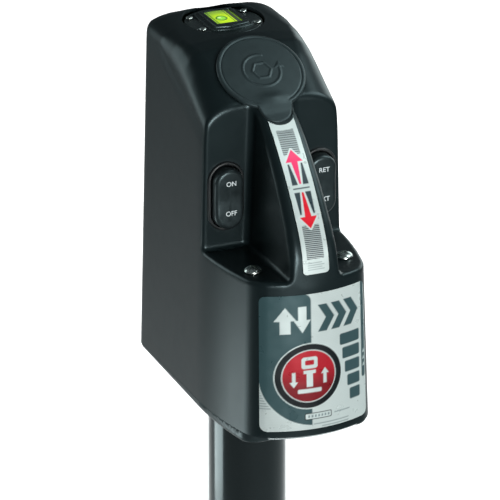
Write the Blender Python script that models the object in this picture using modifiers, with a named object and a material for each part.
"""Powered A-frame tongue jack: a plastic head on a steel tube, a screw-driven ram and a removable foot.

Frame: +Z up, front of the head towards -Y, origin under the foot on the tube's axis.
Sizes are in millimetres here; MM turns them into Blender's metres.
The jack stands retracted: the ram is all the way up in the outer tube.
"""
import math

import bmesh
import bpy
from mathutils import Matrix, Vector

MM = 0.001
GAP = 0.3                    # between pieces that touch

# Driving dimensions of the jack
TRAVEL = 356.0               # ram travel, 14 in
SCREW_LEAD = 5.08            # five turns to the inch
TUBE_R = 57.15 / 2           # outer tube, 2.25 in
TUBE_WALL = 3.6
RAM_R = 44.45 / 2            # ram tube, 1.75 in
RAM_WALL = 3.2
RAM_BOTTOM, RAM_TOP = 9.0, 558.0
TUBE_BOTTOM = 74.0
HEAD_Z = 540.0               # bottom edge of the plastic cover
TUBE_TOP = HEAD_Z + 74.0
FLANGE_Z = 290.0             # underside of the A-frame flange
FLANGE_T = 6.35
BOLT_CIRCLE_R = 55.0
BOLT_HOLE_R = 5.5
LOBE_R = 18.0                # the flange's lobes round its bolts
SCREW_R, JOURNAL_R = 10.0, 8.0
SCREW_BOTTOM = 150.0
NUT_LOW = RAM_TOP - 20.0

# The foot, its pin and the pin's hairpin clip
FOOT_HALF, FOOT_T, FOOT_CORNER_R = 70.0, 5.0, 14.0
SOCKET_TOP = 62.0
PIN_Z, PIN_R = 36.0, 6.0
CLIP_X, CLIP_WIRE_R = 39.0, 1.5

# Driving dimensions of the head, with heights above HEAD_Z
WALL = 2.5
HALF_WIDTH = 56.3
DRAFT = 0.0235               # the sides lean in by this much per millimetre of height
FRONT_Y, BACK_Y = -130.0, 80.0
FRONT_R = 85.0               # radius of the bowed front face
FRONT_EDGE = 41.0            # half-width of the bowed part
LEDGE_Z = 115.0              # floor of the two side pockets
POCKET_Y = -45.0             # their back wall
RIB_HALF = 18.7              # half-width of the middle rib at the ledge
RIB_DRAFT = 0.038
PLAN_CORNER_R = 16.0         # the head's two rear corners
TRAY_H, TRAY_FLOOR, TRAY_WALL = 6.5, 2.5, 2.5
TRAY_FRONT_Y = -111.0
LABEL_HALF, STRIP_HALF = 39.5, 9.7
LABEL_T = 0.4
COVER_SCREW_X, COVER_SCREW_Y = 34.8, -92.6
LENS_HALF = 34.0
GROMMET_X, GROMMET_Y = -30.0, 55.0

# The cap over the crank socket
CAP_CENTRE = Vector((0.0, -26.0, HEAD_Z + 236.3))
CAP_R, CAP_T = 32.3, 2.6
CAP_TILT = math.radians(34.0)
CRANK_HOLE_R = 21.0

# The level on top
LEVEL_Y, LEVEL_Z, LEVEL_R = 43.4, HEAD_Z + 251.4, 28.4
VIAL_TOP = LEVEL_Z + 3.6
LEVEL_SCREWS = [(x, LEVEL_Y + y) for y in (-13.0, 13.0) for x in (-21.0, 21.0)]

# The rocker switches on the pockets' back walls
ROCKER_X, ROCKER_Z = 35.5, HEAD_Z + 154.5
ROCKER_HALF_W, ROCKER_HALF_H = 10.8, 22.5
ROCKER_PIVOT_Y = POCKET_Y + 2.0
SLOT_HALF_W, SLOT_HALF_H = 12.6, 24.6        # in the cover
WELL_HALF_W, WELL_HALF_H = 11.3, 23.7        # in the switch, round the rocker

# The gear train: motor pinion, idler gear, idler pinion, output gear
MODULE = 1.25
MOTOR_TEETH, IDLER_TEETH, PINION_TEETH, OUTPUT_TEETH = 11, 42, 12, 36
IDLER_Y = -MODULE * (PINION_TEETH + OUTPUT_TEETH) / 2
MOTOR_Y = IDLER_Y - MODULE * (MOTOR_TEETH + IDLER_TEETH) / 2
PLATE_Z = TUBE_TOP + GAP     # underside of the steel head plate
PLATE_T = 6.0
CASE_Z = PLATE_Z + PLATE_T + GAP
CASE_FLOOR, CASE_H = 4.0, 24.0
CASE_HALF, CASE_BACK = 32.0, 28.0
LOW_GEAR_Z = CASE_Z + 10.0   # output gear and idler pinion
HIGH_GEAR_Z = LOW_GEAR_Z + 8.6
GEAR_W, HIGH_GEAR_W = 8.0, 4.4
IDLER_SHAFT_R, MOTOR_SHAFT_R = 5.0, 3.0
HEX_TOP = HEAD_Z + 188.0     # the crank shaft's hexagon
HEX_H, HEX_HALF = 22.0, 9.5
RACE_LOW = CASE_Z + CASE_FLOOR + GAP
MOTOR_R = 30.5
MOTOR_LOW = HEAD_Z + 6.0
MOTOR_HIGH = PLATE_Z - GAP
BELL_H = 12.0


# ---------------------------------------------------------------- scene and helpers

def clear_scene():
    for obj in list(bpy.data.objects):
        bpy.data.objects.remove(obj, do_unlink=True)


def new_collection(name):
    collection = bpy.data.collections.new(name)
    bpy.context.scene.collection.children.link(collection)
    return collection


clear_scene()
PARTS = new_collection("tongue_jack")
CUTTERS = new_collection("cutters")


def make_material(name, colour, roughness, metallic=0.0, transmission=0.0):
    material = bpy.data.materials.new(name)
    material.use_nodes = True
    shader = material.node_tree.nodes["Principled BSDF"]
    shader.inputs["Base Color"].default_value = (*colour, 1.0)
    shader.inputs["Roughness"].default_value = roughness
    shader.inputs["Metallic"].default_value = metallic
    shader.inputs["Transmission Weight"].default_value = transmission
    return material


def paint(obj, colour, roughness, metallic=0.0, transmission=0.0):
    obj.data.materials.clear()
    obj.data.materials.append(make_material(obj.name, colour, roughness, metallic, transmission))
    return obj


BLACK_PLASTIC = ((0.025, 0.028, 0.030), 0.42)
BLACK_PAINT = ((0.010, 0.010, 0.011), 0.22)
ZINC = ((0.62, 0.62, 0.60), 0.32, 1.0)
STEEL = ((0.45, 0.45, 0.46), 0.35, 1.0)
BRONZE = ((0.55, 0.36, 0.16), 0.38, 1.0)
ALUMINIUM = ((0.60, 0.61, 0.62), 0.45, 1.0)


def add_object(name, bm, collection=PARTS):
    """A mesh object from a bmesh drawn in millimetres, its origin at the world's."""
    bmesh.ops.recalc_face_normals(bm, faces=bm.faces)
    mesh = bpy.data.meshes.new(name)
    bmesh.ops.scale(bm, vec=(MM, MM, MM), verts=bm.verts)
    bm.to_mesh(mesh)
    bm.free()
    obj = bpy.data.objects.new(name, mesh)
    collection.objects.link(obj)
    if collection is CUTTERS:
        obj.hide_render = True
        obj.display_type = "WIRE"
    return obj


def loft(name, rings, collection=PARTS, closed=True, caps=True):
    """Skin rings of points, each ring as long as the next."""
    bm = bmesh.new()
    rows = [[bm.verts.new(point) for point in ring] for ring in rings]
    count = len(rows[0])
    last = count if closed else count - 1
    for low, high in zip(rows, rows[1:]):
        for i in range(last):
            j = (i + 1) % count
            bm.faces.new((low[i], low[j], high[j], high[i]))
    if caps:
        bm.faces.new(rows[0][::-1])
        bm.faces.new(rows[-1])
    return add_object(name, bm, collection)


def prism(name, outline, low, high, collection=PARTS):
    """A flat outline in XY pulled up from low to high."""
    rings = [[(x, y, z) for x, y in outline] for z in (low, high)]
    return loft(name, rings, collection)


def box(name, low, high, collection=PARTS, bevel=0.0, segments=2):
    bm = bmesh.new()
    size = Vector(high) - Vector(low)
    middle = (Vector(high) + Vector(low)) / 2
    matrix = Matrix.Translation(middle) @ Matrix.Diagonal((*size, 1.0))
    bmesh.ops.create_cube(bm, size=1.0, matrix=matrix)
    if bevel:
        bmesh.ops.bevel(bm, geom=bm.edges[:], offset=bevel, segments=segments, profile=0.5,
                        affect="EDGES")
    return add_object(name, bm, collection)


def cylinder(name, radius, low, high, x=0.0, y=0.0, sides=36, collection=PARTS,
             top_radius=None):
    """An upright cylinder, or a cone if top_radius is given."""
    bm = bmesh.new()
    matrix = Matrix.Translation((x, y, (low + high) / 2))
    bmesh.ops.create_cone(bm, cap_ends=True, segments=sides, radius1=radius,
                          radius2=radius if top_radius is None else top_radius,
                          depth=high - low, matrix=matrix)
    return add_object(name, bm, collection)


def turned(name, profile, x=0.0, y=0.0, sides=32, collection=PARTS):
    """A closed (radius, height) profile turned about a vertical axis at x, y.

    The profile lists the outer side from top to bottom and then the bore from bottom to top,
    or touches the axis at both ends.
    """
    mesh = bpy.data.meshes.new(name)
    points = [(r * MM, 0.0, z * MM) for r, z in profile]
    closed = profile[0][0] > 0.0
    edges = [(i, i + 1) for i in range(len(points) - 1)]
    if closed:
        edges.append((len(points) - 1, 0))
    mesh.from_pydata(points, edges, [])
    obj = bpy.data.objects.new(name, mesh)
    obj.location = (x * MM, y * MM, 0.0)
    collection.objects.link(obj)
    screw = obj.modifiers.new("turn", "SCREW")
    screw.steps = screw.render_steps = sides
    screw.merge_threshold = 0.00001
    screw.use_merge_vertices = True
    if collection is CUTTERS:
        obj.hide_render = True
        obj.display_type = "WIRE"
    return obj


def place(obj, matrix):
    """Move an object's mesh by a matrix in millimetres."""
    move = matrix.copy()
    move.translation = move.translation * MM
    obj.data.transform(move)
    return obj


def join_or_cut(obj, tool, operation):
    modifier = obj.modifiers.new(operation.lower(), "BOOLEAN")
    modifier.object = tool
    modifier.operation = operation
    modifier.solver = "EXACT"
    return obj


def cut(obj, *tools):
    for tool in tools:
        join_or_cut(obj, tool, "DIFFERENCE")
    return obj


def add(obj, *tools):
    for tool in tools:
        join_or_cut(obj, tool, "UNION")
    return obj


def smooth(obj, angle=35.0):
    obj.data.shade_smooth()
    obj.data.set_sharp_from_angle(angle=math.radians(angle))
    return obj


def arc(cx, cy, radius, start, end, steps):
    """Points on an arc, its angles in degrees."""
    turns = [math.radians(start + (end - start) * i / steps) for i in range(steps + 1)]
    return [(cx + radius * math.cos(t), cy + radius * math.sin(t)) for t in turns]


def rounded_rectangle(x0, y0, x1, y1, radius, steps=5):
    corners = ((x1 - radius, y1 - radius, 0), (x0 + radius, y1 - radius, 90),
               (x0 + radius, y0 + radius, 180), (x1 - radius, y0 + radius, 270))
    return [point for cx, cy, a in corners for point in arc(cx, cy, radius, a, a + 90, steps)]


def stadium(half_width, half_height, steps=10):
    """A slot outline, upright, as (across, up) points."""
    straight = half_height - half_width
    return (arc(0, straight, half_width, 0, 180, steps) +
            arc(0, -straight, half_width, 180, 360, steps))


# ---------------------------------------------------------------- shape of the head

# Middle section of the top, front to back, as (y, height above HEAD_Z)
CREST = ((-140.0, 108.0), (-126.0, 112.0), (-124.3, 115.0), (-122.3, 127.0), (-118.5, 139.0),
         (-112.0, 151.0), (-102.5, 165.0), (-93.0, 177.5), (-82.5, 189.5), (-71.5, 201.0),
         (-61.0, 210.5), (-45.0, 221.5), (-30.0, 231.5), (-14.0, 242.3), (-2.0, 248.9),
         (10.0, 251.4), (30.0, 252.2), (64.0, 252.0), (71.0, 250.0), (75.5, 246.0), (78.0, 240.0),
         (92.0, 225.0))


def crest_height(y):
    """Height of the middle of the top at y, by straight steps between CREST's points."""
    for (y0, z0), (y1, z1) in zip(CREST, CREST[1:]):
        if y <= y1:
            return z0 + (z1 - z0) * (y - y0) / (y1 - y0)
    return CREST[-1][1]


def front_y(x, z, inset=0.0):
    """The bowed front face at x and height z."""
    radius = FRONT_R - inset
    return FRONT_Y + 0.05 * z + inset + radius - math.sqrt(radius * radius - x * x)


def plan_half(z, inset=0.0):
    """Outline of the head's +X half at height z, from the front middle to the back middle."""
    half = HALF_WIDTH - DRAFT * z - inset
    back = BACK_Y - 0.012 * z - inset
    front = front_y(0.0, z, inset)
    edge = FRONT_EDGE - 0.5 * inset
    points = [(edge * i / 6, front_y(edge * i / 6, z, inset)) for i in range(7)]
    # corner: a curve between the front's tangent and the side's tangent
    side_start, side_bend = front + 27.0, front + 90.0
    bend = 4.3 / 48.0 ** 2

    def side_x(y):
        return half - bend * max(side_bend - y, 0.0) ** 2

    x0, y0 = points[-1]
    x1, y1 = side_x(side_start), side_start
    slope0 = edge / math.sqrt((FRONT_R - inset) ** 2 - edge ** 2)
    slope1 = 2 * bend * (side_bend - y1)
    reach = (y1 - y0 - slope0 * (x1 - x0)) / (1.0 - slope0 * slope1)
    cx, cy = x1 - slope1 * reach, y1 - reach
    for i in range(1, 7):
        t = i / 6
        points.append(((1 - t) ** 2 * x0 + 2 * t * (1 - t) * cx + t * t * x1,
                       (1 - t) ** 2 * y0 + 2 * t * (1 - t) * cy + t * t * y1))
    for i in range(1, 5):
        y = y1 + (side_bend - y1) * i / 4
        points.append((side_x(y), y))
    radius = PLAN_CORNER_R - inset
    points += arc(half - radius, back - radius, radius, 0, 90, 6)
    points.append((0.0, back))
    return points


def plan(z, inset=0.0):
    half = plan_half(z, inset)
    return half + [(-x, y) for x, y in half[-2:0:-1]]


def arch(y, inset=0.0):
    """Section of the head across X at y: two upright sides, soft shoulders and a crowned top."""
    peak = crest_height(y - 0.9 * inset) - inset
    pocketed = y < POCKET_Y - 0.5
    side = peak - 1.0 if pocketed else min(222.0 + 0.455 * y - 0.4 * inset, peak - 2.0)
    shoulder = 1.0 if pocketed else max(17.0 - 0.2 * y, 3.0)
    half = HALF_WIDTH + 0.4 - DRAFT * side - inset
    flat = half - shoulder
    right = [(half + DRAFT * (side + 40.0), -40.0)]
    for i in range(9):
        a = math.radians(90.0 * i / 8)
        right.append((flat + shoulder * math.cos(a), side + (peak - side) * math.sin(a)))
    for i in (2, 1):
        right.append((flat * i / 3, peak))
    right = [(x, z - (0.0 if pocketed or z < side else 3.0 * (min(x, flat) / 45.0) ** 2))
             for x, z in right]
    return right + [(0.0, peak)] + [(-x, z) for x, z in right[::-1]]


def head_blank(name, inset, bottom):
    """The whole outer form of the head, its surface moved in by inset."""
    walls = loft(name, [[(x, y, HEAD_Z + z) for x, y in plan(z, inset)]
                        for z in (bottom, 60.0, 125.0, 262.0)],
                 PARTS if inset == 0.0 else CUTTERS)
    stations = [y for y, _ in CREST[:11]] + [POCKET_Y - 1.0, POCKET_Y]
    stations += [y for y, _ in CREST[12:]]
    top = loft(name + "_top", [[(x, y, HEAD_Z + z) for x, z in arch(y, inset)]
                               for y in stations], CUTTERS)
    join_or_cut(walls, top, "INTERSECT")
    return walls


def pocket_cutter(side, grow):
    """The notch beside the rib, open to the front and the side; grow thickens it all round."""
    def rib_x(z):
        return RIB_HALF - RIB_DRAFT * (z - LEDGE_Z) - grow

    low, high = LEDGE_Z - grow, 262.0
    back, front = POCKET_Y + grow, -170.0
    radius = 4.0
    rings = []
    for z in (low, high):
        inner = rib_x(z)
        corner = arc(inner + radius, back - radius, radius, 90, 180, 4)
        ring = [(90.0, front), (90.0, back)] + corner + [(inner, front)]
        rings.append([(side * x, y, HEAD_Z + z) for x, y in ring])
    return loft("pocket_%s_%s" % ("left" if side < 0 else "right", grow), rings, CUTTERS)


def cap_frame():
    """Matrix of the cap's own frame: Z along its axis, Y up the slope."""
    return Matrix.Translation(CAP_CENTRE) @ Matrix.Rotation(CAP_TILT, 4, "X")


def cap_outline(grow=0.0):
    """A disc with a finger tab at its lower edge, as points in the cap's own frame."""
    return (arc(0.0, 0.0, CAP_R + grow, -66.0, 246.0, 40) +
            arc(0.0, -CAP_R + 2.5, 11.5 + grow, 200.0, 340.0, 10))


def wall_slot(name, side, half_width, half_height, y0, y1, collection=CUTTERS):
    """An upright slot shape at a rocker, between two Y planes."""
    outline = stadium(half_width, half_height)
    rings = [[(side * ROCKER_X + u, y, ROCKER_Z + v) for u, v in outline] for y in (y0, y1)]
    return loft(name, rings, collection)


def housing_cover():
    cover = head_blank("housing_cover", 0.0, 0.0)
    cut(cover, pocket_cutter(-1, 0.0), pocket_cutter(1, 0.0))
    cavity = head_blank("cavity", WALL, -10.0)
    cut(cavity, pocket_cutter(-1, WALL), pocket_cutter(1, WALL))
    cut(cover, cavity)
    seat = prism("cap_seat", cap_outline(0.6), -CAP_T - GAP, 30.0, CUTTERS)
    hole = cylinder("crank_hole", CRANK_HOLE_R, -40.0, 40.0, sides=32, collection=CUTTERS)
    for tool in (seat, hole):
        place(tool, cap_frame())
        cut(cover, tool)
    recess = cylinder("level_recess", LEVEL_R + 0.7, LEVEL_Z - 1.6 - GAP, LEVEL_Z + 20.0,
                      y=LEVEL_Y, collection=CUTTERS)
    well = box("level_well", (-10.3, LEVEL_Y - 14.3, LEVEL_Z - 30.0),
               (10.3, LEVEL_Y + 14.3, LEVEL_Z + 20.0), CUTTERS)
    cut(cover, recess, well)
    for x, y in LEVEL_SCREWS:
        cut(cover, cylinder("cover_level_hole", 1.5, LEVEL_Z - 9.0, LEVEL_Z, x, y, 12, CUTTERS))
    for side, label in ((-1, "left"), (1, "right")):
        slot = wall_slot("slot_" + label, side, SLOT_HALF_W, SLOT_HALF_H, POCKET_Y - 10.0,
                         POCKET_Y + 10.0)
        screw_hole = cylinder("screw_hole_" + label, 2.7, HEAD_Z + LEDGE_Z - 8.0,
                              HEAD_Z + LEDGE_Z + 6.0, side * COVER_SCREW_X, COVER_SCREW_Y, 16,
                              CUTTERS)
        cut(cover, slot, screw_hole)
    return paint(cover, *BLACK_PLASTIC)


def tray_outline(inset):
    """The base's outline: the cover's sides, with a flatter front set back under the face."""
    half = []
    for x, y in plan_half(0.0, inset + 0.3):
        half.append((x, max(y, TRAY_FRONT_Y + inset)))
    cleaned = [half[0]]
    for x, y in half[1:]:
        if math.dist((x, y), cleaned[-1]) > 0.5:
            cleaned.append((x, y))
    return cleaned + [(-x, y) for x, y in cleaned[-2:0:-1]]


def base_tray():
    tray = prism("base_tray", tray_outline(0.0), HEAD_Z - TRAY_H, HEAD_Z - GAP)
    hollow = prism("tray_hollow", tray_outline(TRAY_WALL), HEAD_Z - TRAY_H + TRAY_FLOOR,
                   HEAD_Z + 5.0, CUTTERS)
    cut(tray, hollow)
    tube_hole = cylinder("tray_tube_hole", TUBE_R + GAP, HEAD_Z - 20.0, HEAD_Z + 10.0,
                         collection=CUTTERS)
    lead_hole = cylinder("tray_lead_hole", 7.0, HEAD_Z - 20.0, HEAD_Z + 10.0, GROMMET_X,
                         GROMMET_Y, 24, CUTTERS)
    cut(tray, tube_hole, lead_hole)
    return paint(tray, *BLACK_PLASTIC)


# ---------------------------------------------------------------- trim on the head

def face_sheet(name, rows, thickness):
    """A thin curved sheet: an open grid of points, thickened away from the head."""
    bm = bmesh.new()
    grid = [[bm.verts.new(point) for point in row] for row in rows]
    for low, high in zip(grid, grid[1:]):
        for i in range(len(low) - 1):
            bm.faces.new((low[i], low[i + 1], high[i + 1], high[i]))
    mesh = bpy.data.meshes.new(name)
    bmesh.ops.scale(bm, vec=(MM, MM, MM), verts=bm.verts)
    bm.to_mesh(mesh)
    bm.free()
    obj = bpy.data.objects.new(name, mesh)
    PARTS.objects.link(obj)
    solid = obj.modifiers.new("thickness", "SOLIDIFY")
    solid.thickness = thickness * MM
    solid.offset = 1.0
    return obj


def front_label():
    rows = []
    for i in range(5):
        z = 6.0 + 98.0 * i / 4
        row = []
        for j in range(13):
            x = LABEL_HALF * (j - 6) / 6
            row.append((x, front_y(x, z) - 0.35, HEAD_Z + z))
        rows.append(row)
    label = face_sheet("front_label", rows, LABEL_T)
    return paint(label, (0.72, 0.74, 0.74), 0.35, 0.3)


def strip_label():
    stations = [point for point in CREST if -123.0 < point[0] < -60.0]
    rows = []
    for i, (y, z) in enumerate(stations):
        before, after = stations[max(i - 1, 0)], stations[min(i + 1, len(stations) - 1)]
        along = Vector((0.0, after[0] - before[0], after[1] - before[1])).normalized()
        out = Vector((0.0, -along.z, along.y)) * 0.75
        rows.append([(x, y + out.y, HEAD_Z + z + out.z) for x in (-STRIP_HALF, STRIP_HALF)])
    label = face_sheet("strip_label", rows, LABEL_T)
    return paint(label, (0.74, 0.76, 0.76), 0.35, 0.3)


def crank_cap():
    """Soft cap: a disc with a finger tab, and a plug that fills the hole under it."""
    cap = prism("crank_cap", cap_outline(), -CAP_T, 0.0)
    plug = cylinder("cap_plug", CRANK_HOLE_R - GAP, -CAP_T - 8.0, -CAP_T / 2, sides=32,
                    collection=CUTTERS)
    hollow = cylinder("cap_plug_hollow", CRANK_HOLE_R - 3.0, -CAP_T - 9.0, -CAP_T - 0.5,
                      sides=32, collection=CUTTERS)
    add(cap, plug)
    cut(cap, hollow)
    for piece in (cap, plug, hollow):
        place(piece, Matrix.Rotation(CAP_TILT, 4, "X"))
        piece.location = CAP_CENTRE * MM
    return paint(cap, (0.030, 0.033, 0.035), 0.55)


def level_bezel():
    """Round plate on top of the head with a raised frame round the vial."""
    plate = cylinder("level_bezel", LEVEL_R, LEVEL_Z - 1.6, LEVEL_Z, y=LEVEL_Y)
    frame = box("level_frame", (-13.0, LEVEL_Y - 18.0, LEVEL_Z - 0.8),
                (13.0, LEVEL_Y + 17.0, VIAL_TOP), CUTTERS)
    step = box("level_step", (-16.0, LEVEL_Y - 18.5, LEVEL_Z - 0.8),
               (16.0, LEVEL_Y + 18.5, LEVEL_Z + 1.4), CUTTERS)
    add(plate, frame, step)
    window = box("level_window", (-10.0, LEVEL_Y - 14.0, LEVEL_Z - 6.0),
                 (10.0, LEVEL_Y + 14.0, LEVEL_Z + 9.0), CUTTERS)
    cut(plate, window)
    for x, y in LEVEL_SCREWS:
        cut(plate, cylinder("level_screw_hole", 1.5, LEVEL_Z - 6.0, LEVEL_Z + 6.0, x, y, 12,
                            CUTTERS))
    return paint(plate, *BLACK_PLASTIC)


def level_vial():
    vial = box("level_vial", (-9.7, LEVEL_Y - 13.7, LEVEL_Z - 9.0),
               (9.7, LEVEL_Y + 13.7, VIAL_TOP - 0.6), bevel=1.5)
    return paint(vial, (0.62, 0.86, 0.06), 0.12, 0.0, 0.4)


def pan_screw(name, x, y, seat, head_r, head_h, shank_r, length, metal=ZINC):
    """A pan-head screw standing on a seat."""
    profile = ((0.0, head_h), (head_r * 0.55, head_h * 0.92), (head_r * 0.9, head_h * 0.55),
               (head_r, 0.0), (shank_r, 0.0), (shank_r, -length), (0.0, -length - 1.0))
    screw = turned(name, profile, sides=16)
    screw.location = Vector((x, y, seat)) * MM
    return paint(screw, *metal)


def switch_body(side, name):
    """A switch: a flange on the pocket's wall, a tub behind it and its contact block."""
    flange = wall_slot(name, side, 13.8, 25.8, POCKET_Y - 1.6, POCKET_Y - GAP, PARTS)
    tub = wall_slot(name + "_tub", side, 12.3, 24.3, POCKET_Y - 1.0, POCKET_Y + 10.0)
    block = box(name + "_block", (side * ROCKER_X - 5.5, POCKET_Y + 9.0, ROCKER_Z - 14.0),
                (side * ROCKER_X + 5.5, POCKET_Y + 18.0, ROCKER_Z + 14.0), CUTTERS)
    add(flange, tub, block)
    well = wall_slot(name + "_well", side, WELL_HALF_W, WELL_HALF_H, POCKET_Y - 9.0,
                     POCKET_Y + 8.4)
    cut(flange, well)
    return paint(flange, (0.018, 0.019, 0.020), 0.4)


def rocker(side, name):
    """An oval rocker, domed in front, on a cross-wise pivot."""
    rings = []
    for y, shrink in ((POCKET_Y + 2.6, 3.0), (POCKET_Y + 1.0, 0.0), (POCKET_Y - 6.0, 0.0),
                      (POCKET_Y - 8.2, 0.9), (POCKET_Y - 9.3, 2.8)):
        ring = stadium(ROCKER_HALF_W - shrink, ROCKER_HALF_H - shrink)
        rings.append([(u, y - ROCKER_PIVOT_Y, v) for u, v in ring])
    button = loft(name, rings)
    button.location = Vector((side * ROCKER_X, ROCKER_PIVOT_Y, ROCKER_Z)) * MM
    return paint(smooth(button), (0.035, 0.039, 0.041), 0.45)


def light_lens():
    """A clear strip under the front of the cover, over the work light."""
    low, high = HEAD_Z - 3.4, HEAD_Z - GAP
    outer, inner = [], []
    for i in range(13):
        x = LENS_HALF * (i - 6) / 6
        outer.append((x, front_y(x, 0.0) + 3.2))
        inner.append((x, max(front_y(x, 0.0) + 3.2, -116.5) + 4.5))
    lens = prism("light_lens", outer + inner[::-1], low, high)
    return paint(lens, (0.85, 0.88, 0.88), 0.10, 0.0, 0.85)


def light_board():
    """The work light's board: six LEDs facing down through the lens, on a foot in the tray."""
    board = box("light_board", (-26.0, -110.0, HEAD_Z + 4.0), (26.0, -94.0, HEAD_Z + 5.6))
    holder = box("light_board_foot", (-24.0, -101.0, HEAD_Z - TRAY_H + TRAY_FLOOR + GAP),
                 (24.0, -99.0, HEAD_Z + 4.8), CUTTERS)
    add(board, holder)
    for i in range(6):
        x = -20.0 + 8.0 * i
        add(board, box("light_led", (x - 1.5, -109.0, HEAD_Z + 2.6),
                       (x + 1.5, -106.0, HEAD_Z + 4.8), CUTTERS))
    return paint(board, (0.02, 0.16, 0.06), 0.5)


def power_grommet():
    """A rubber bush with a groove for the tray's floor, where the power lead comes in."""
    under, over = HEAD_Z - TRAY_H - GAP, HEAD_Z - TRAY_H + TRAY_FLOOR + GAP
    profile = ((9.0, over + 4.2), (9.0, over), (6.7, over), (6.7, under), (9.0, under),
               (8.0, under - 3.2), (5.5, under - 11.7), (3.6, under - 11.7), (3.6, over + 4.2))
    grommet = turned("power_grommet", profile, GROMMET_X, GROMMET_Y, 24)
    return paint(smooth(grommet), (0.02, 0.02, 0.02), 0.7)


# ---------------------------------------------------------------- motor and gears

def gear_outline(teeth, backlash=0.12, points=3):
    """Involute teeth, 20 degrees, one tooth centred on +X, thinned by the backlash."""
    pitch = MODULE * teeth / 2
    base = pitch * math.cos(math.radians(20.0))
    tip, root = pitch + 0.92 * MODULE, pitch - 1.25 * MODULE
    half_pitch = (math.pi * MODULE / 2 - backlash) / 2 / pitch
    involute_20 = math.tan(math.radians(20.0)) - math.radians(20.0)

    def flank_angle(radius):
        if radius <= base:
            return half_pitch + involute_20
        pressure = math.acos(base / radius)
        return half_pitch + involute_20 - (math.tan(pressure) - pressure)

    start = max(base, root)
    flank = [(start + (tip - start) * i / (points - 1)) for i in range(points)]
    if root < base:
        flank = [root] + flank
    tooth = [(r, -flank_angle(r)) for r in flank] + [(r, flank_angle(r)) for r in flank[::-1]]
    outline = []
    for n in range(teeth):
        centre = 2 * math.pi * n / teeth
        outline += [(r * math.cos(centre + a), r * math.sin(centre + a)) for r, a in tooth]
    return outline


def gear(name, teeth, y, low, width, bore, turn, hub=None):
    """A spur gear on a vertical axis, its first tooth at the angle turn, in degrees."""
    outline = gear_outline(teeth)
    rings = [[(px, py, z) for px, py in outline] for z in (low, low + width)]
    wheel = loft(name, rings)
    tools = []
    if hub:
        hub_r, hub_low, hub_high = hub
        tools.append(cylinder(name + "_hub", hub_r, hub_low, hub_high, sides=32,
                              collection=CUTTERS))
        add(wheel, tools[-1])
    tools.append(cylinder(name + "_bore", bore, low - 40.0, low + width + 40.0, sides=32,
                          collection=CUTTERS))
    cut(wheel, tools[-1])
    for piece in (wheel, *tools):
        place(piece, Matrix.Rotation(math.radians(turn), 4, "Z"))
        piece.location = (0.0, y * MM, 0.0)
    return paint(wheel, *STEEL)


def gears():
    """All three meshes lie on the line of centres along Y, so a tooth faces a space there."""
    # output gear: a tooth towards -Y
    gear("output_gear", OUTPUT_TEETH, 0.0, LOW_GEAR_Z, GEAR_W, JOURNAL_R + GAP, -90.0,
         (13.0, LOW_GEAR_Z - 1.2, LOW_GEAR_Z + 1.0))
    # idler pinion: a space towards +Y
    gear("idler_pinion", PINION_TEETH, IDLER_Y, LOW_GEAR_Z, GEAR_W,
         IDLER_SHAFT_R + GAP, 90.0 + 180.0 / PINION_TEETH)
    # idler gear: a tooth towards -Y
    gear("idler_gear", IDLER_TEETH, IDLER_Y, HIGH_GEAR_Z, HIGH_GEAR_W,
         IDLER_SHAFT_R + GAP, -90.0)
    # motor pinion: a space towards +Y
    gear("motor_pinion", MOTOR_TEETH, MOTOR_Y, HIGH_GEAR_Z, HIGH_GEAR_W,
         MOTOR_SHAFT_R + GAP, 90.0 + 180.0 / MOTOR_TEETH)


def crank_shaft():
    """The idler's shaft, which runs up to a hexagon that the hand crank turns."""
    low = CASE_Z + CASE_FLOOR + GAP
    lid_top = CASE_Z + CASE_H + 6.0
    shaft = cylinder("crank_shaft", IDLER_SHAFT_R, low, HEX_TOP - HEX_H, 0.0, IDLER_Y, 32)
    collar = cylinder("crank_shaft_collar", 8.0, lid_top, lid_top + 4.0, 0.0, IDLER_Y, 32,
                      CUTTERS)
    hexagon = cylinder("crank_shaft_hex", HEX_HALF / math.cos(math.pi / 6),
                       HEX_TOP - HEX_H - 2.0, HEX_TOP, 0.0, IDLER_Y, 6, CUTTERS)
    add(shaft, collar, hexagon)
    return paint(shaft, *ZINC)


def gear_case():
    outline = rounded_rectangle(-CASE_HALF, MOTOR_Y - 18.0, CASE_HALF, CASE_BACK, 20.0)
    wall = 3.0
    inside = rounded_rectangle(-CASE_HALF + wall, MOTOR_Y - 18.0 + wall, CASE_HALF - wall,
                               CASE_BACK - wall, 20.0 - wall)
    case = prism("gear_case", outline, CASE_Z, CASE_Z + CASE_H)
    cut(case, prism("case_hollow", inside, CASE_Z + CASE_FLOOR, CASE_Z + CASE_H + 5.0, CUTTERS))
    cut(case, cylinder("case_screw_hole", 10.6, CASE_Z - 5.0, CASE_Z + 10.0, sides=32,
                       collection=CUTTERS))
    cut(case, cylinder("case_motor_hole", 4.5, CASE_Z - 5.0, CASE_Z + 10.0, 0.0, MOTOR_Y, 24,
                       CUTTERS))
    paint(case, *ALUMINIUM)
    lid_z = CASE_Z + CASE_H + GAP
    lid = prism("gear_case_lid", outline, lid_z, lid_z + 4.0)
    cut(lid, cylinder("lid_shaft_hole", IDLER_SHAFT_R + GAP, lid_z - 5.0, lid_z + 10.0, 0.0, IDLER_Y, 24,
                      CUTTERS))
    paint(lid, *ALUMINIUM)


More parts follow.
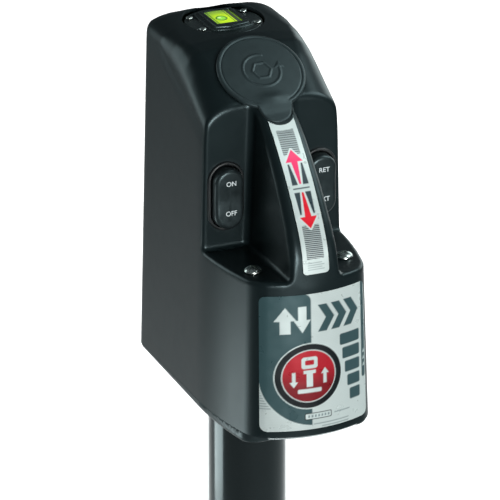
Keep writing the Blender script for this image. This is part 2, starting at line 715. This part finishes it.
def head_plate():
    """Steel plate welded on top of the tube; it carries the gear case and the motor."""
    outline = rounded_rectangle(-36.0, MOTOR_Y - 24.0, 36.0, 34.0, 14.0, 4)
    plate = prism("head_plate", outline, PLATE_Z, PLATE_Z + PLATE_T)
    cut(plate, cylinder("plate_screw_hole", 10.6, PLATE_Z - 5.0, PLATE_Z + 12.0, sides=32,
                        collection=CUTTERS))
    cut(plate, cylinder("plate_motor_hole", 9.0, PLATE_Z - 5.0, PLATE_Z + 12.0, 0.0, MOTOR_Y,
                        24, CUTTERS))
    return paint(plate, *STEEL)


def motor():
    """A gear motor hung under the head plate: a can, its end bell and its shaft."""
    seam, inside = MOTOR_LOW + BELL_H, MOTOR_R - 2.0
    can = turned("motor_can", ((MOTOR_R, MOTOR_HIGH), (MOTOR_R, seam), (inside, seam),
                               (inside, MOTOR_HIGH - 3.0), (4.5, MOTOR_HIGH - 3.0),
                               (4.5, MOTOR_HIGH)), 0.0, MOTOR_Y)
    paint(smooth(can), (0.03, 0.03, 0.03), 0.35, 0.6)
    bore = MOTOR_SHAFT_R + GAP
    profile = ((MOTOR_R, seam - GAP), (MOTOR_R, MOTOR_LOW + 2.0), (MOTOR_R - 2.0, MOTOR_LOW),
               (bore, MOTOR_LOW), (bore, MOTOR_LOW + 9.0), (14.0, MOTOR_LOW + 9.0),
               (14.0, MOTOR_LOW + 3.0), (inside - 0.5, MOTOR_LOW + 3.0), (inside - 0.5, seam - GAP))
    bell = turned("motor_end_bell", profile, 0.0, MOTOR_Y)
    paint(smooth(bell), *ALUMINIUM)
    shaft = cylinder("motor_shaft", MOTOR_SHAFT_R, MOTOR_LOW + 2.0, HIGH_GEAR_Z + HIGH_GEAR_W,
                     0.0, MOTOR_Y, 24)
    paint(shaft, *STEEL)
    armature = cylinder("motor_armature", 21.0, MOTOR_LOW + 16.0, MOTOR_HIGH - 10.0, 0.0,
                        MOTOR_Y, 32)
    cut(armature, cylinder("armature_bore", bore, MOTOR_LOW, MOTOR_HIGH, 0.0, MOTOR_Y, 24,
                           CUTTERS))
    paint(armature, (0.45, 0.20, 0.08), 0.4, 0.8)


def electrics():
    """The control module and the circuit breaker, behind the tube."""
    module = box("control_module", (-30.0, 44.0, HEAD_Z + 6.0), (14.0, 70.0, HEAD_Z + 66.0),
                 bevel=2.0)
    paint(module, (0.02, 0.02, 0.025), 0.5)
    breaker = box("circuit_breaker", (19.0, 48.0, HEAD_Z + 10.0), (41.0, 66.0, HEAD_Z + 44.0),
                  bevel=1.0)
    paint(breaker, (0.25, 0.02, 0.02), 0.5)


# ---------------------------------------------------------------- tube, screw, ram and foot

def outer_tube():
    tube = turned("outer_tube", ((TUBE_R, TUBE_TOP), (TUBE_R, TUBE_BOTTOM),
                                 (TUBE_R - TUBE_WALL, TUBE_BOTTOM), (TUBE_R - TUBE_WALL, TUBE_TOP)))
    return paint(smooth(tube), *BLACK_PAINT)


def flange_outline():
    """A three-lobed plate: an arc round each bolt, joined by straight sides."""
    outline = []
    for n in range(3):
        angle = -90.0 + 120.0 * n
        cx = BOLT_CIRCLE_R * math.cos(math.radians(angle))
        cy = BOLT_CIRCLE_R * math.sin(math.radians(angle))
        outline += arc(cx, cy, LOBE_R, angle - 60.0, angle + 60.0, 8)
    return outline


def a_frame_flange():
    plate = prism("a_frame_flange", flange_outline(), FLANGE_Z, FLANGE_Z + FLANGE_T)
    collar = cylinder("flange_collar", TUBE_R + 6.0, FLANGE_Z + FLANGE_T - 1.0,
                      FLANGE_Z + FLANGE_T + 7.0, collection=CUTTERS, top_radius=TUBE_R + 1.2)
    add(plate, collar)
    cut(plate, cylinder("flange_bore", TUBE_R + GAP, FLANGE_Z - 5.0, FLANGE_Z + 20.0,
                        collection=CUTTERS))
    for n in range(3):
        angle = math.radians(-90.0 + 120.0 * n)
        cut(plate, cylinder("flange_bolt_hole", BOLT_HOLE_R, FLANGE_Z - 5.0, FLANGE_Z + 20.0,
                            BOLT_CIRCLE_R * math.cos(angle), BOLT_CIRCLE_R * math.sin(angle), 24,
                            CUTTERS))
    return paint(plate, *BLACK_PAINT)


def guide_bush():
    """Lines the bottom of the outer tube and guides the ram."""
    inside = TUBE_R - TUBE_WALL - GAP
    bush = turned("guide_bush", ((inside, TUBE_BOTTOM + 30.0), (inside, TUBE_BOTTOM - GAP),
                                 (TUBE_R, TUBE_BOTTOM - GAP), (TUBE_R, TUBE_BOTTOM - 3.0),
                                 (RAM_R + GAP, TUBE_BOTTOM - 3.0),
                                 (RAM_R + GAP, TUBE_BOTTOM + 30.0)))
    return paint(smooth(bush), (0.55, 0.53, 0.45), 0.5)


def ram():
    tube = turned("ram_tube", ((RAM_R, RAM_TOP), (RAM_R, RAM_BOTTOM), (RAM_R - RAM_WALL, RAM_BOTTOM),
                               (RAM_R - RAM_WALL, RAM_TOP)))
    pin_hole = cylinder("ram_pin_hole", 6.5, -60.0, 60.0, sides=24, collection=CUTTERS)
    place(pin_hole, Matrix.Translation((0, 0, PIN_Z)) @ Matrix.Rotation(math.pi / 2, 4, "Y"))
    cut(tube, pin_hole)
    paint(smooth(tube), *ZINC)
    inside = RAM_R - RAM_WALL - GAP
    nut = turned("screw_nut", ((TUBE_R - TUBE_WALL - 0.8, RAM_TOP + 9.0),
                               (TUBE_R - TUBE_WALL - 0.8, RAM_TOP + GAP), (inside, RAM_TOP + GAP),
                               (inside, NUT_LOW), (SCREW_R + GAP, NUT_LOW),
                               (SCREW_R + GAP, RAM_TOP + 9.0)))
    paint(smooth(nut), *BRONZE)


def lead_screw():
    """Threaded rod, here as a plain cylinder, with a journal for the bearing and the gear."""
    top = LOW_GEAR_Z + GEAR_W
    profile = ((0.0, top), (JOURNAL_R, top), (JOURNAL_R, CASE_Z - 8.0), (SCREW_R, CASE_Z - 9.0),
               (SCREW_R, SCREW_BOTTOM + 2.0), (SCREW_R - 2.0, SCREW_BOTTOM), (0.0, SCREW_BOTTOM))
    screw = turned("lead_screw", profile)
    paint(smooth(screw), *STEEL)
    for name, low, high in (("thrust_race_lower", RACE_LOW, RACE_LOW + 1.2),
                            ("thrust_ball_cage", RACE_LOW + 1.5, RACE_LOW + 2.9),
                            ("thrust_race_upper", RACE_LOW + 3.2, RACE_LOW + 4.2)):
        race = turned(name, ((15.0, high), (15.0, low), (JOURNAL_R + 0.6, low),
                             (JOURNAL_R + 0.6, high)))
        paint(smooth(race), *STEEL)


def foot():
    """A formed steel foot: a square plate and a socket, held to the ram by a pin."""
    outline = rounded_rectangle(-FOOT_HALF, -FOOT_HALF, FOOT_HALF, FOOT_HALF, FOOT_CORNER_R)
    plate = prism("foot_plate", outline, 0.0, FOOT_T)
    outside, bore = TUBE_R + 0.5, RAM_R + 0.6
    socket = turned("foot_socket", ((outside, SOCKET_TOP), (outside, FOOT_T - 1.0),
                                    (bore, FOOT_T - 1.0), (bore, SOCKET_TOP)),
                    collection=CUTTERS)
    add(plate, socket)
    pin_hole = cylinder("foot_pin_hole", PIN_R + GAP, -60.0, 60.0, sides=24, collection=CUTTERS)
    place(pin_hole, Matrix.Translation((0, 0, PIN_Z)) @ Matrix.Rotation(math.pi / 2, 4, "Y"))
    cut(plate, pin_hole)
    paint(plate, *ZINC)
    pin = cylinder("foot_pin", PIN_R, -36.0, 46.0, sides=24)
    head = cylinder("foot_pin_head", 9.0, -41.0, -35.0, sides=24, collection=CUTTERS)
    turn = Matrix.Translation((0, 0, PIN_Z)) @ Matrix.Rotation(math.pi / 2, 4, "Y")
    clip_hole = cylinder("foot_pin_clip_hole", 1.9, -20.0, 20.0, sides=12, collection=CUTTERS)
    clip_hole.location = (CLIP_X * MM, 0.0, PIN_Z * MM)
    for piece in (pin, head):
        place(piece, turn)
    add(pin, head)
    cut(pin, clip_hole)
    return paint(pin, *ZINC)


def hairpin_clip():
    """A hairpin of round wire: a straight leg through the pin and a bowed leg round it."""
    bend_r, bend_z = 4.5, PIN_Z - 22.0
    points = [(0.0, PIN_Z + 14.0)] + arc(bend_r, bend_z, bend_r, 180.0, 360.0, 4)
    points += [(9.5, PIN_Z - 12.0), (10.5, PIN_Z), (9.5, PIN_Z + 8.0), (7.0, PIN_Z + 13.0)]
    curve = bpy.data.curves.new("hairpin_clip", "CURVE")
    curve.dimensions = "3D"
    curve.bevel_depth = CLIP_WIRE_R * MM
    curve.bevel_resolution = 2
    curve.use_fill_caps = True
    spline = curve.splines.new("POLY")
    spline.points.add(len(points) - 1)
    for slot, (y, z) in zip(spline.points, points):
        slot.co = (CLIP_X * MM, y * MM, z * MM, 1.0)
    clip = bpy.data.objects.new("hairpin_clip", curve)
    PARTS.objects.link(clip)
    curve.materials.append(make_material("hairpin_clip", *ZINC))
    return clip


def build():
    housing_cover()
    base_tray()
    front_label()
    strip_label()
    crank_cap()
    level_bezel()
    level_vial()
    for n, (x, y) in enumerate(LEVEL_SCREWS):
        pan_screw("level_screw_%d" % (n + 1), x, y, LEVEL_Z + GAP, 2.6, 1.6, 1.2, 3.0)
    for side, label in ((-1, "left"), (1, "right")):
        pan_screw("cover_screw_" + label, side * COVER_SCREW_X, COVER_SCREW_Y,
                  HEAD_Z + LEDGE_Z + GAP, 6.2, 3.6, 2.4, 6.0)
    switch_body(-1, "light_switch_body")
    switch_body(1, "drive_switch_body")
    rocker(-1, "light_rocker")
    rocker(1, "drive_rocker")
    light_lens()
    light_board()
    power_grommet()
    gears()
    crank_shaft()
    gear_case()
    head_plate()
    motor()
    electrics()
    outer_tube()
    a_frame_flange()
    guide_bush()
    ram()
    lead_screw()
    foot()
    hairpin_clip()


build()
